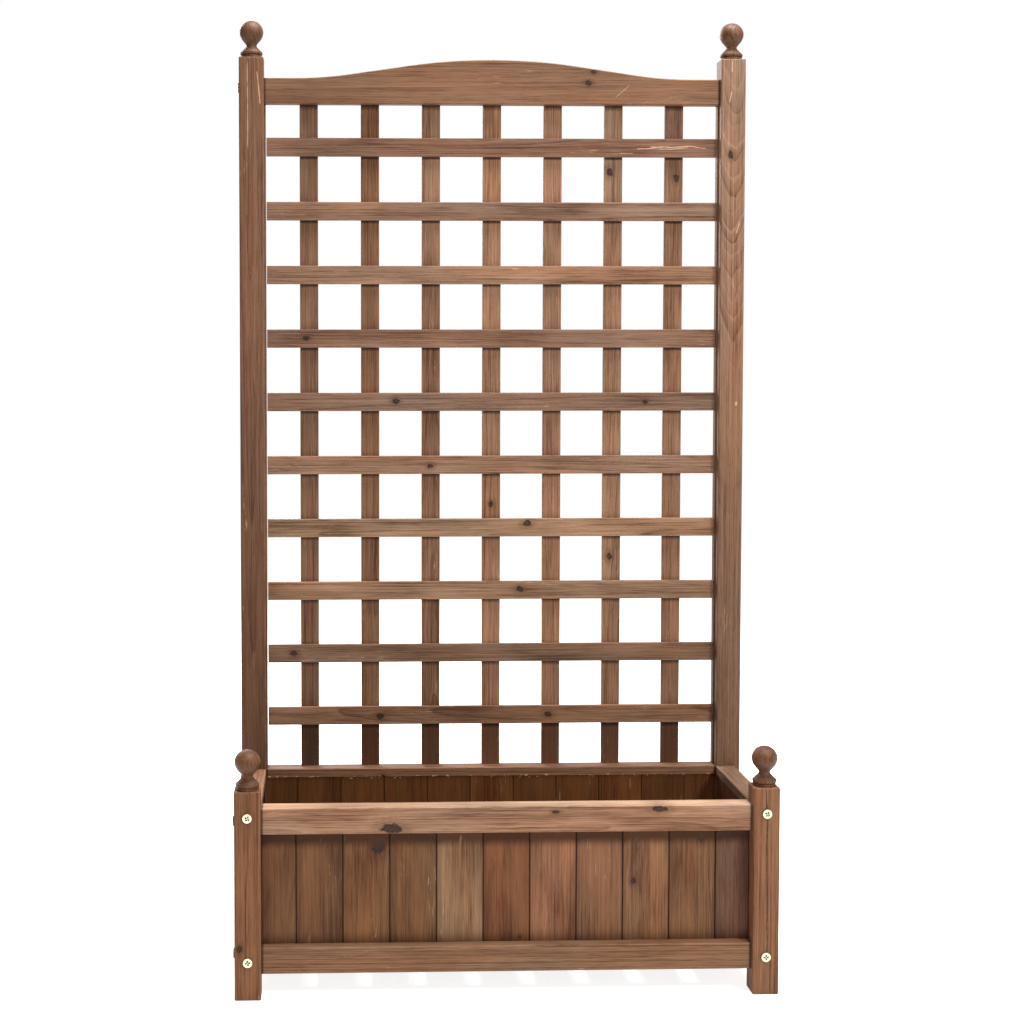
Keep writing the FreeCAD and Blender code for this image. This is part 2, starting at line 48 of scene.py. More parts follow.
# camera: a little left of the middle, looking slightly down
cameraLook = {
    "place": (-0.2629, -2.6389, 0.9256), "turn": -0.0318, "tip": -0.0486, "roll": 0.0006,
    "focalPixels": 1768.0, "middle": (380, 440), "frameSize": 1024,
}


def makeCamera(look):
    data = bpy.data.cameras.new("garden camera")
    data.sensor_width = 36
    data.lens = look["focalPixels"] * 36 / look["frameSize"]
    data.shift_x = (look["frameSize"] / 2 - look["middle"][0]) / look["frameSize"]
    data.shift_y = (look["middle"][1] - look["frameSize"] / 2) / look["frameSize"]
    turned = (Matrix.Rotation(look["turn"], 3, "Z") @ Matrix.Rotation(look["tip"], 3, "X")
              @ Matrix.Rotation(look["roll"], 3, "Y"))
    right, ahead, up = turned.col[0], turned.col[1], turned.col[2]
    facing = Matrix((right, up, -ahead)).transposed().to_4x4()
    camera = bpy.data.objects.new("garden camera", data)
    camera.matrix_world = Matrix.Translation(look["place"]) @ facing
    scene.collection.objects.link(camera)
    scene.camera = camera


makeCamera(cameraLook)
scene.view_settings.view_transform = "Standard"


# short helpers for node trees
def makeNode(tree, kind, **values):
    node = tree.nodes.new(kind)
    for key, value in values.items():
        setattr(node, key, value)
    return node


def feed(tree, socket, value):
    if isinstance(value, bpy.types.NodeSocket):
        tree.links.new(value, socket)
    else:
        socket.default_value = value


def maths(tree, operation, *values, clamp=False):
    node = makeNode(tree, "ShaderNodeMath", operation=operation, use_clamp=clamp)
    for socket, value in zip(node.inputs, values):
        feed(tree, socket, value)
    return node.outputs[0]


def minus(tree, first, second, clamp=False):
    return maths(tree, "SUBTRACT", first, second, clamp=clamp)


def plus(tree, first, second):
    return maths(tree, "ADD", first, second)


def times(tree, first, second, clamp=False):
    return maths(tree, "MULTIPLY", first, second, clamp=clamp)


def larger(tree, first, second):
    return maths(tree, "MAXIMUM", first, second)


def vectors(tree, operation, *values):
    node = makeNode(tree, "ShaderNodeVectorMath", operation=operation)
    for socket, value in zip(node.inputs, values):
        feed(tree, socket, value)
    return node.outputs["Value" if operation == "LENGTH" else "Vector"]


def split(tree, vector):
    node = makeNode(tree, "ShaderNodeSeparateXYZ")
    feed(tree, node.inputs[0], vector)
    return tuple(node.outputs)


def join(tree, *values):
    node = makeNode(tree, "ShaderNodeCombineXYZ")
    for socket, value in zip(node.inputs, values):
        feed(tree, socket, value)
    return node.outputs[0]


def chance(tree, number):
    # the same random value and colour wherever the number is the same
    node = makeNode(tree, "ShaderNodeTexWhiteNoise", noise_dimensions="1D")
    feed(tree, node.inputs["W"], number)
    return node.outputs


def remap(tree, value, low, high, newLow=0.0, newHigh=1.0, smooth=True):
    node = makeNode(tree, "ShaderNodeMapRange", clamp=True,
                    interpolation_type="SMOOTHSTEP" if smooth else "LINEAR")
    for socket, item in zip(node.inputs, (value, low, high, newLow, newHigh)):
        feed(tree, socket, item)
    return node.outputs[0]


def cloud(tree, vector, stretch, detail=2.0, rough=0.5):
    node = makeNode(tree, "ShaderNodeTexNoise")
    feed(tree, node.inputs["Vector"], vectors(tree, "MULTIPLY", vector, stretch))
    node.inputs["Scale"].default_value = 1.0
    node.inputs["Detail"].default_value = detail
    node.inputs["Roughness"].default_value = rough
    return node.outputs["Fac"]


def blendColour(tree, amount, first, second, how="MIX"):
    node = makeNode(tree, "ShaderNodeMix", data_type="RGBA", blend_type=how)
    feed(tree, node.inputs[0], amount)
    feed(tree, node.inputs[6], first)
    feed(tree, node.inputs[7], second)
    return node.outputs[2]


def startMaterial(name):
    material = bpy.data.materials.new(name)
    material.use_nodes = True
    return material, material.node_tree, material.node_tree.nodes["Principled BSDF"]


def addBump(tree, surface, height, strength, distance):
    bump = makeNode(tree, "ShaderNodeBump")
    bump.inputs["Strength"].default_value = strength
    bump.inputs["Distance"].default_value = distance
    feed(tree, bump.inputs["Height"], height)
    feed(tree, surface.inputs["Normal"], bump.outputs[0])


def startGroup(name, inputs, outputs):
    tree = bpy.data.node_groups.new(name, "ShaderNodeTree")
    for label, kind, value in inputs:
        socket = tree.interface.new_socket(label, in_out="INPUT", socket_type="NodeSocket" + kind)
        if value is not None:
            socket.default_value = value
    for label, kind in outputs:
        tree.interface.new_socket(label, in_out="OUTPUT", socket_type="NodeSocket" + kind)
    return tree, tree.nodes.new("NodeGroupInput").outputs, tree.nodes.new("NodeGroupOutput").inputs


def useGroup(tree, group, **values):
    node = makeNode(tree, "ShaderNodeGroup", node_tree=group)
    for key, value in values.items():
        label = "".join(" " + c if c.isupper() else c for c in key).title()
        feed(tree, node.inputs[label], value)
    return node.outputs


def linear(code):
    # a colour written as in a picture editor
    parts = [int(code[i:i + 2], 16) / 255 for i in (1, 3, 5)]
    return tuple(c / 12.92 if c <= 0.04045 else ((c + 0.055) / 1.055) ** 2.4 for c in parts) + (1.0,)


# how a knot bends the lines round it: Place is (along the grain, across it, into the board)
knotShape = {
    "bendAlong": 2.9, "bendAcross": 1.5,   # reach of the bend, in knot radii
    "ragged": 1.5, "raggedGrain": (150, 260, 260), "edge": (1.15, 0.8), "haloEdge": (3.0, 0.8),
    "middle": 0.84, "middleEdge": (0.1, 0.7),   # a little lighter in the middle
}


def makeKnotFlow(shape):
    tree, given, made = startGroup("knot flow", [
        ("Place", "Vector", None), ("Knot", "Vector", None), ("Size", "Float", 0.008),
        ("Core", "Float", 0.0), ("Halo", "Float", 0.0), ("Swirl", "Float", 0.62), ("Flat", "Float", 0.72),
    ], [("Place", "Vector"), ("Core", "Float"), ("Halo", "Float")])
    size = given["Size"]
    alongKnot, acrossKnot, _ = split(tree, vectors(tree, "SUBTRACT", given["Place"], given["Knot"]))
    along = maths(tree, "DIVIDE", alongKnot, times(tree, size, shape["bendAlong"]))
    across = maths(tree, "DIVIDE", acrossKnot, times(tree, size, shape["bendAcross"]))
    square = plus(tree, times(tree, along, along), times(tree, across, across))
    near = maths(tree, "POWER", math.e, times(tree, square, -1.0))
    push = times(tree, times(tree, acrossKnot, near), given["Swirl"])
    feed(tree, made["Place"], vectors(tree, "SUBTRACT", given["Place"], join(tree, 0.0, push)))
    ragged = minus(tree, cloud(tree, given["Place"], shape["raggedGrain"], 2.0), 0.5)
    flat = join(tree, times(tree, alongKnot, given["Flat"]), acrossKnot)
    reach = maths(tree, "DIVIDE", vectors(tree, "LENGTH", flat), size)
    reach = plus(tree, reach, times(tree, ragged, shape["ragged"]))
    core = times(tree, remap(tree, reach, *shape["edge"]),
                 remap(tree, reach, *shape["middleEdge"], shape["middle"], 1.0))
    feed(tree, made["Core"], larger(tree, given["Core"], core))
    feed(tree, made["Halo"], larger(tree, given["Halo"], remap(tree, reach, *shape["haloEdge"])))
    return tree


# growth rings cut by the faces of the board, from the heart of the log
ringShape = {
    "slow": (4.5, 16, 16), "quick": (22, 90, 90), "quickShare": 0.22,   # sway of the rings
    "uneven": 85, "unevenReach": 0.014,   # wide and narrow years
    "lateCurve": 4.5, "lateEdge": (1.0, 0.93), "earlyEdge": (0.34, 0.04),
    "yearCurve": 1.6, "yearReach": 0.95, "yearLeast": 0.15,   # how much a year shows
}


def makeGrowthRings(shape):
    tree, given, made = startGroup("growth rings", [
        ("Place", "Vector", None), ("Seed", "Vector", None), ("Heart Across", "Float", 0.0),
        ("Heart Depth", "Float", 0.03), ("Drift", "Float", 0.0), ("Rise", "Float", 0.02),
        ("Ring Gap", "Float", 0.0035), ("Wobble", "Float", 0.004), ("Taper", "Float", 0.0),
    ], [("Rings", "Float"), ("Bands", "Float"), ("Early", "Float")])
    noisy = vectors(tree, "ADD", given["Place"], given["Seed"])
    along, acrossBoard, intoBoard = split(tree, given["Place"])
    slow = minus(tree, cloud(tree, noisy, shape["slow"], 1.0), 0.5)
    quick = minus(tree, cloud(tree, noisy, shape["quick"], 1.0), 0.5)
    sway = times(tree, maths(tree, "MULTIPLY_ADD", quick, shape["quickShare"], slow), given["Wobble"])
    across = plus(tree, maths(tree, "MULTIPLY_ADD", along, given["Drift"], acrossBoard), sway)
    depth = plus(tree, maths(tree, "MULTIPLY_ADD", along, given["Rise"], intoBoard), sway)
    spot = join(tree, minus(tree, across, given["Heart Across"]), plus(tree, depth, given["Heart Depth"]))
    grown = minus(tree, vectors(tree, "LENGTH", spot), times(tree, along, given["Taper"]))
    aged = vectors(tree, "ADD", join(tree, grown), given["Seed"])
    uneven = minus(tree, cloud(tree, aged, (shape["uneven"],) * 3, 1.0), 0.5)
    grown = maths(tree, "MULTIPLY_ADD", uneven, shape["unevenReach"], grown)
    count = maths(tree, "DIVIDE", grown, given["Ring Gap"])
    season = maths(tree, "FRACT", count)
    late = times(tree, maths(tree, "POWER", season, shape["lateCurve"]), remap(tree, season, *shape["lateEdge"]))
    year = chance(tree, maths(tree, "FLOOR", count))["Value"]
    strong = maths(tree, "MULTIPLY_ADD", maths(tree, "POWER", year, shape["yearCurve"]),
                   shape["yearReach"], shape["yearLeast"])
    feed(tree, made["Rings"], times(tree, late, strong))
    feed(tree, made["Bands"], year)
    feed(tree, made["Early"], times(tree, remap(tree, season, *shape["earlyEdge"]), strong))
    return tree


# streaks, pores, blotches where the stain took unevenly, and pale torn fibres;
# each stretch is in spots per metre: along the grain, across it and into the board
fibreShape = {
    "thin": (5, 470, 470), "broad": (2, 105, 105), "broadShare": 0.2, "pores": (30, 760, 760),
    "blotch": (6, 22, 22), "warmth": (4, 34, 34), "warmthEdge": (0.3, 0.7),
    "tornPatch": (9, 40, 40), "tornPatchEdge": (0.60, 0.72), "sliver": (38, 520, 520), "sliverEdge": (0.60, 0.70),
}


def makeFibres(shape):
    tree, given, made = startGroup("fibres", [
        ("Place", "Vector", None), ("Seed", "Vector", None),
    ], [("Streaks", "Float"), ("Pores", "Float"), ("Blotch", "Float"), ("Warmth", "Float"), ("Torn", "Float")])
    spot = vectors(tree, "ADD", given["Place"], given["Seed"])
    thin = cloud(tree, spot, shape["thin"], 3.0, 0.7)
    broad = times(tree, cloud(tree, spot, shape["broad"], 2.0, 0.5), shape["broadShare"])
    feed(tree, made["Streaks"], maths(tree, "MULTIPLY_ADD", thin, 1 - shape["broadShare"], broad))
    feed(tree, made["Pores"], cloud(tree, spot, shape["pores"], 2.0, 0.6))
    feed(tree, made["Blotch"], cloud(tree, spot, shape["blotch"], 2.0, 0.55))
    feed(tree, made["Warmth"], remap(tree, cloud(tree, spot, shape["warmth"], 1.0), *shape["warmthEdge"]))
    patch = remap(tree, cloud(tree, spot, shape["tornPatch"], 1.0), *shape["tornPatchEdge"])
    sliver = remap(tree, cloud(tree, spot, shape["sliver"], 2.0, 0.7), *shape["sliverEdge"])
    feed(tree, made["Torn"], times(tree, patch, sliver))
    return tree


# wear along a straight piece's edges, from how far a spot is from two faces at once,
# and painted shade near its seams, a painted shadow in the gap at its ends and the dark of its joints with the next
# board
wearShape = {"patches": (45, 160, 160), "patchEdge": (0.36, 0.62), "tipFull": 0.55, "jointFull": 0.4}


def makeEdgeWear(shape):
    tree, given, made = startGroup("edge wear", [
        ("Place", "Vector", None), ("Seed", "Vector", None), ("Half", "Vector", None), ("Width", "Float", 0.0025),
        ("Seam Width", "Float", 0.008), ("Tip Width", "Float", 0.0042), ("Joint Width", "Float", 0.0013),
    ], [("Wear", "Float"), ("Seam", "Float"), ("Tip", "Float"), ("Joint", "Float")])
    parts = split(tree, vectors(tree, "SUBTRACT", given["Half"], vectors(tree, "ABSOLUTE", given["Place"])))
    first, second, third = (remap(tree, part, given["Width"], 0.0, smooth=False) for part in parts)
    total = plus(tree, plus(tree, first, second), third)
    edge = minus(tree, total, larger(tree, larger(tree, first, second), third), clamp=True)
    sides = remap(tree, parts[1], given["Seam Width"], 0.0)
    feed(tree, made["Seam"], times(tree, sides, sides))
    for label, part, full in (("Tip", parts[0], shape["tipFull"]), ("Joint", parts[1], shape["jointFull"])):
        width = given[label + " Width"]
        feed(tree, made[label], remap(tree, part, width, times(tree, width, full)))
    patchy = cloud(tree, vectors(tree, "ADD", given["Place"], given["Seed"]), shape["patches"], 3.0, 0.6)
    feed(tree, made["Wear"], times(tree, edge, remap(tree, patchy, *shape["patchEdge"])))
    return tree


# one line on a face: a drying crack, a scratch or a pale streak
lineShape = {"wander": (16, 2, 2), "thickness": (90, 20, 20), "edge": (1.25, 0.7), "begun": 0.06, "fading": 0.9}


def makeFaceLine(shape):
    tree, given, made = startGroup("face line", [
        ("Place", "Vector", None), ("Start", "Vector", None), ("Length", "Float", 0.1), ("Slope", "Float", 0.0),
        ("Width", "Float", 0.0008), ("Sway", "Float", 0.001), ("Face Depth", "Float", 0.003),
    ], [("Line", "Float")])
    along, across, into = split(tree, vectors(tree, "SUBTRACT", given["Place"], given["Start"]))
    wander = minus(tree, cloud(tree, given["Place"], shape["wander"], 2.0, 0.45), 0.5)
    centre = maths(tree, "MULTIPLY_ADD", along, given["Slope"], times(tree, wander, given["Sway"]))
    away = maths(tree, "ABSOLUTE", minus(tree, across, centre))
    thin = times(tree, given["Width"], cloud(tree, given["Place"], shape["thickness"], 2.0, 0.6))
    line = remap(tree, maths(tree, "DIVIDE", away, thin), *shape["edge"])
    share = maths(tree, "DIVIDE", along, given["Length"])
    run = times(tree, remap(tree, share, 0.0, shape["begun"]), remap(tree, share, 1.0, shape["fading"]))
    near = remap(tree, maths(tree, "ABSOLUTE", into), given["Face Depth"], 0.0, smooth=False)
    onFace = maths(tree, "GREATER_THAN", near, 0.01)
    feed(tree, made["Line"], times(tree, line, times(tree, run, onFace)))
    return tree


# the stain's colour over all of these masks; Seam and Tip mix in painted shade and painted shadow
stainAndShadeLook = {
    "warm": (1.05, 0.97, 0.91, 1), "grey": (0.97, 1.02, 1.08, 1),   # these four multiply the tint
    "deep": (0.36, 0.27, 0.21, 1), "bright": (1.55, 1.6, 1.68, 1),
    "core": "#1f0e08", "crack": "#2a160c", "pale": "#c89f80",
    "haloShare": 0.5, "coreShare": 0.92, "endShare": 0.5, "seamShare": 0.38, "wearShare": 0.5,
    "tornShare": 0.45, "crackShare": 0.85, "tipShare": 0.8, "bandShare": 0.16,
    "poreEdge": (0.56, 0.34), "poreShare": 0.42,
    "rough": 0.52, "streakRough": 0.22, "wornRough": 0.10, "coreSmooth": 0.14,
    "streakHigh": 0.6, "poreHigh": 0.35, "ringLow": 0.35, "crackLow": 1.6, "coreHigh": 0.3,
}


def makeStain(look):
    masks = ("Rings", "Early", "Bands", "Streaks", "Pores", "Blotch", "Warmth", "Torn", "Core", "Halo",
             "Wear", "End", "Crack", "Seam", "Tip", "Pale")
    depths = ("Ring Depth", "Early Depth", "Streak Depth", "Blotch Depth", "Polish")
    tree, given, made = startGroup("wood stain and painted shade", [
        ("Tint", "Color", None), ("Pale Tint", "Color", linear(look["pale"])),
    ] + [(label, "Float", None) for label in masks + depths],
        [("Color", "Color"), ("Roughness", "Float"), ("Height", "Float")])
    warm = blendColour(tree, 1.0, given["Tint"], look["warm"], "MULTIPLY")
    grey = blendColour(tree, 1.0, given["Tint"], look["grey"], "MULTIPLY")
    tint = blendColour(tree, given["Warmth"], grey, warm)
    deep = blendColour(tree, 1.0, tint, look["deep"], "MULTIPLY")
    bright = blendColour(tree, 1.0, tint, look["bright"], "MULTIPLY")
    shade = times(tree, given["Rings"], given["Ring Depth"])
    shade = minus(tree, shade, times(tree, given["Early"], given["Early Depth"]))
    shade = plus(tree, shade, times(tree, minus(tree, given["Bands"], 0.5), look["bandShare"]))
    for label in ("Streaks", "Blotch"):
        depth = given[label.rstrip("s") + " Depth"]
        shade = plus(tree, shade, times(tree, minus(tree, 0.5, given[label]), depth))
    shade = plus(tree, shade, remap(tree, given["Pores"], *look["poreEdge"], 0.0, look["poreShare"]))
    pale = larger(tree, times(tree, given["Torn"], look["tornShare"]), given["Pale"])
    dark = larger(tree, times(tree, given["Crack"], look["crackShare"]), times(tree, given["Tip"], look["tipShare"]))
    colour = tint
    for amount, layer in (
        (times(tree, shade, 1.0, clamp=True), deep),
        (times(tree, shade, -1.0, clamp=True), bright),
        (times(tree, given["Halo"], look["haloShare"]), deep),
        (times(tree, given["Core"], look["coreShare"]), linear(look["core"])),
        (times(tree, given["End"], look["endShare"]), deep),
        (times(tree, given["Seam"], look["seamShare"], clamp=True), deep),
        (times(tree, given["Wear"], look["wearShare"]), bright),
        (pale, given["Pale Tint"]),
        (dark, linear(look["crack"])),
    ):
        colour = blendColour(tree, amount, colour, layer)
    feed(tree, made["Color"], colour)
    rough = maths(tree, "MULTIPLY_ADD", given["Streaks"], look["streakRough"], look["rough"])
    rough = minus(tree, rough, given["Polish"])
    rough = plus(tree, rough, times(tree, plus(tree, given["Wear"], given["End"]), look["wornRough"]))
    feed(tree, made["Roughness"], minus(tree, rough, times(tree, given["Core"], look["coreSmooth"]), clamp=True))
    pores = times(tree, given["Pores"], look["poreHigh"])
    high = maths(tree, "MULTIPLY_ADD", given["Streaks"], look["streakHigh"], pores)
    high = minus(tree, high, times(tree, given["Rings"], look["ringLow"]))
    high = minus(tree, high, times(tree, given["Crack"], look["crackLow"]))
    feed(tree, made["Height"], plus(tree, high, times(tree, given["Core"], look["coreHigh"])))
    return tree


# which board of a panel a spot is on, and that board's own shade and shift
def makeBoardNumber():
    tree, given, made = startGroup("board number", [
        ("Across", "Float", 0.0), ("First Joint", "Float", 0.0), ("Board Width", "Float", 0.07),
        ("Seed", "Float", 0.0),
    ], [("Shade", "Float"), ("Shift", "Vector")])
    joints = maths(tree, "DIVIDE", minus(tree, given["Across"], given["First Joint"]), given["Board Width"])
    noise = chance(tree, plus(tree, maths(tree, "FLOOR", joints), given["Seed"]))
    feed(tree, made["Shade"], noise["Value"])
    feed(tree, made["Shift"], vectors(tree, "MULTIPLY", noise["Color"], (3.0, 0.02, 0.02)))
    return tree


knotFlow = makeKnotFlow(knotShape)
growthRings = makeGrowthRings(ringShape)
fibres = makeFibres(fibreShape)
edgeWear = makeEdgeWear(wearShape)
faceLine = makeFaceLine(lineShape)
stainAndPaintedShade = makeStain(stainAndShadeLook)
boardNumber = makeBoardNumber()
print("node groups made")

# which of x, y, z runs along the grain, across it and into the board
grainWays = {
    "along x": (0, 2, 1), "along z": (2, 0, 1), "along z, seen from the side": (2, 1, 0),
    "along y": (1, 2, 0), "along y, flat": (1, 0, 2),
}

# what every piece of wood starts from; the looks below change what differs
woodLook = {
    "tint": "#8c654e", "ringGap": 0.0034, "ringDepth": 0.75, "earlyDepth": 0.2, "wobble": 0.005, "taper": 0.0,
    "streakDepth": 3.6, "blotchDepth": 1.1, "wearWidth": 0.0028, "bump": 0.8, "bumpHigh": 0.0006,
    # seam darkens each board towards its sides as painted shade; tip darkens a piece's ends as a painted shadow in
    # the gap at the joint
    "shine": 0.16, "polish": 0.0, "seam": 0.0, "seamWidth": 0.008, "tip": 0.0, "joint": 0.0,
    "knots": (), "knotFlat": 0.72,   # along, across, radius and, for a long knot, how flat
    "lines": (), "paleLine": 0.62,   # kind, start, length, slope, width, sway
    "shades": (),   # heights between which painted shade darkens the wood, and how much
    "boards": None, "boardShades": (0.76, 1.2),   # first joint and board width, darkest and lightest board
    "heart": None, "slope": None,   # heart of the log, and how its rings lean
    "ringFade": None,   # heights over which arched lines take over from straight grain
    "otherFace": None,   # axis, side and tint of one face, painted lighter as painted light and darker as painted shade
    "contact": None,   # painted shade below crossings: lower edge of the first crossing piece, their pitch, depth of the shade, top rail's foot
    "fray": None,   # heights of a strip of pale torn fibres, and how few tear
}


def bendRoundKnots(tree, place, look, middle, order):
    core, halo = 0.0, 0.0
    for along, across, size, *flat in look["knots"]:
        knot = (along - middle[order[0]], across - middle[order[1]], 0.0)
        flow = useGroup(tree, knotFlow, place=place, knot=knot, size=size, core=core, halo=halo,
                        flat=flat[0] if flat else look["knotFlat"])
        place, core, halo = flow["Place"], flow["Core"], flow["Halo"]
    return place, core, halo


def drawLines(tree, place, look, middle, order):
    crack, pale = 0.0, 0.0
    for kind, start, length, slope, width, sway in look["lines"]:
        local = Vector(start) - middle
        line = useGroup(tree, faceLine, place=place, start=[local[a] for a in order],
                        length=length, slope=slope, width=width, sway=sway)["Line"]
        if kind == "crack":
            crack = larger(tree, crack, line)
        else:
            pale = larger(tree, pale, times(tree, line, look["paleLine"]))
    return crack, pale


def shadeUnderCrossings(tree, contact, height, forward):
    # painted shade just below each crossing piece and just below the top rail, on the front face alone
    edge, pitch, reach, highest = contact
    turns = maths(tree, "FRACT", maths(tree, "DIVIDE", minus(tree, edge, height), pitch))
    near = remap(tree, times(tree, turns, pitch), reach, reach * 0.45)
    near = larger(tree, near, remap(tree, height, highest - reach, highest - reach * 0.45))
    near = times(tree, near, maths(tree, "LESS_THAN", forward, -0.5))
    return times(tree, near, 0.9)


def tearFibres(tree, fray, spot, height):
    lowest, highest, share = fray
    strip = times(tree, maths(tree, "GREATER_THAN", height, lowest), maths(tree, "LESS_THAN", height, highest))
    torn = remap(tree, cloud(tree, spot, (170, 60, 300), 2.0, 0.6), share, share + 0.05, 0.0, 0.9)
    return times(tree, strip, torn)


def makeWood(name, low, high, way, **changes):
    look = dict(woodLook, **changes)
    dice = random.Random(name)
    material, tree, surface = startMaterial(name + " wood")
    order = grainWays[way]
    middle = (Vector(low) + Vector(high)) / 2
    half = (Vector(high) - Vector(low)) / 2
    coordinates = makeNode(tree, "ShaderNodeTexCoord").outputs
    spot, normal = coordinates["Object"], split(tree, coordinates["Normal"])
    spotParts = split(tree, spot)
    height = spotParts[2]
    parts = split(tree, vectors(tree, "SUBTRACT", spot, tuple(middle)))
    place = join(tree, *(parts[axis] for axis in order))
    seed = tuple(dice.uniform(-20, 20) for _ in range(3))

    flowing, core, halo = bendRoundKnots(tree, place, look, middle, order)
    tint = linear(look["tint"])
    # one face gets its own tint: painted light on a lit top face, painted shade on the faces inside the box and on a
    # top face in shade
    if look["otherFace"]:
        axis, side, other = look["otherFace"]
        facing = maths(tree, "GREATER_THAN", times(tree, normal[axis], side), 0.5)
        tint = blendColour(tree, facing, tint, linear(other))
    if look["boards"]:
        firstJoint, boardWidth = look["boards"]
        board = useGroup(tree, boardNumber, across=spotParts[order[1]], firstJoint=firstJoint,
                         boardWidth=boardWidth, seed=dice.uniform(0, 50))
        flowing = vectors(tree, "ADD", flowing, board["Shift"])
        darkest, lightest = ((shade, shade, shade, 1) for shade in look["boardShades"])
        tint = blendColour(tree, 1.0, tint, blendColour(tree, board["Shade"], darkest, lightest), "MULTIPLY")

    heart = look["heart"] or (dice.uniform(-0.035, 0.035), dice.uniform(0.02, 0.05))
    slope = look["slope"] or (dice.uniform(-0.02, 0.02), dice.uniform(-0.03, 0.03))
    rings = useGroup(tree, growthRings, place=flowing, seed=seed, heartAcross=heart[0], heartDepth=heart[1],
                     drift=slope[0], rise=slope[1], ringGap=look["ringGap"], wobble=look["wobble"],
                     taper=look["taper"] or dice.uniform(-0.012, 0.012))
    ringLines, earlyLines = rings["Rings"], rings["Early"]
    if look["ringFade"]:
        kept = remap(tree, height, *look["ringFade"], 0.12, 1.0)
        ringLines, earlyLines = times(tree, ringLines, kept), times(tree, earlyLines, kept)
    grain = useGroup(tree, fibres, place=flowing, seed=seed)
    worn = useGroup(tree, edgeWear, place=place, seed=seed, half=tuple(half[a] for a in order),
                    width=look["wearWidth"], seamWidth=look["seamWidth"])
    crack, pale = drawLines(tree, place, look, middle, order)
    end = remap(tree, maths(tree, "ABSOLUTE", normal[order[0]]), 0.6, 0.9)
    # painted shade: darker towards each board's sides, and between the given heights for a shadow band under a rail
    # and for the darker foot of a piece
    seam = times(tree, worn["Seam"], look["seam"]) if look["seam"] else 0.0
    for start, stop, dark in look["shades"]:
        seam = plus(tree, seam, remap(tree, height, start, stop, 0.0, dark))
    # a painted shadow in the gap at the ends, painted shade below crossings, and the dark joints between boards
    tip = times(tree, worn["Tip"], look["tip"]) if look["tip"] else 0.0
    if look["joint"]:
        tip = larger(tree, tip, times(tree, worn["Joint"], look["joint"]))
    if look["contact"]:
        tip = larger(tree, tip, shadeUnderCrossings(tree, look["contact"], height, normal[1]))
    if look["fray"]:
        pale = larger(tree, pale, tearFibres(tree, look["fray"], spot, height))

    # the wood's colour, with the painted shade and painted shadow of Seam and Tip mixed in
    stain = useGroup(tree, stainAndPaintedShade, tint=tint, rings=ringLines, early=earlyLines, bands=rings["Bands"],
                     streaks=grain["Streaks"], pores=grain["Pores"], blotch=grain["Blotch"],
                     warmth=grain["Warmth"], torn=grain["Torn"], core=core, halo=halo, wear=worn["Wear"],
                     end=end, crack=crack, seam=seam, tip=tip, pale=pale, polish=look["polish"],
                     ringDepth=look["ringDepth"], earlyDepth=look["earlyDepth"],
                     streakDepth=look["streakDepth"], blotchDepth=look["blotchDepth"])
    feed(tree, surface.inputs["Base Color"], stain["Color"])
    feed(tree, surface.inputs["Roughness"], stain["Roughness"])
    surface.inputs["Specular IOR Level"].default_value = look["shine"]
    addBump(tree, surface, stain["Height"], look["bump"], look["bumpHigh"])
    return material


def setMaterial(thing, material):
    thing.data.materials.clear()
    thing.data.materials.append(material)


def dressNode(name, way, **changes):
    low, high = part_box(name)
    setMaterial(nodes[name], makeWood(name, low, high, way, **changes))


# posts: the tints and knots of each, places in metres
postLooks = {
    "front_post_left": {"tint": "#6f4c33", "ringGap": 0.004, "knots": [(0.075, -0.385, 0.004)]},
    "front_post_right": {
        "tint": "#775138", "ringGap": 0.004,
        "lines": [("crack", (0.3752, -0.144, 0.0555), 0.246, -0.0102, 0.0013, 0.004)],
    },
    # the rear posts' shades darken them towards the foot: painted shade
    "rear_post_left": {
        "tint": "#674834", "ringGap": 0.0042, "shades": [(1.15, 0.4, 1.1)],
        "lines": [
            ("pale", (-0.3599, 0.106, 1.3097), 0.0335, -0.06, 0.0016, 0.004),
            ("pale", (-0.3790, 0.106, 1.24), 0.14, 0.0, 0.0010, 0.003),
            ("pale", (-0.3613, 0.106, 1.338), 0.022, -0.14, 0.0009, 0.004),
        ],
    },
    "rear_post_right": {
        "tint": "#795a45", "ringGap": 0.0062, "ringDepth": 0.85, "earlyDepth": 0.6, "wobble": 0.024,
        "heart": (0.001, 0.037), "slope": (0.005, 0.012), "taper": 0.24, "ringFade": (0.86, 1.05),
        "shades": [(1.15, 0.4, 1.1)], "knots": [(1.2339, 0.3700, 0.0042)],
        "lines": [
            ("pale", (0.3710, 0.106, 1.3617), 0.017, 0.0, 0.0015, 0.003),
            ("pale", (0.3669, 0.106, 1.3150), 0.017, 0.23, 0.0014, 0.005),
            ("pale", (0.3790, 0.106, 1.112), 0.018, 0.3, 0.0014, 0.005),
            ("pale", (0.3814, 0.106, 0.845), 0.006, 0.1, 0.0030, 0.002),
        ],
    },
}
for name, look in postLooks.items():
    dressNode(name, "along z", **look)

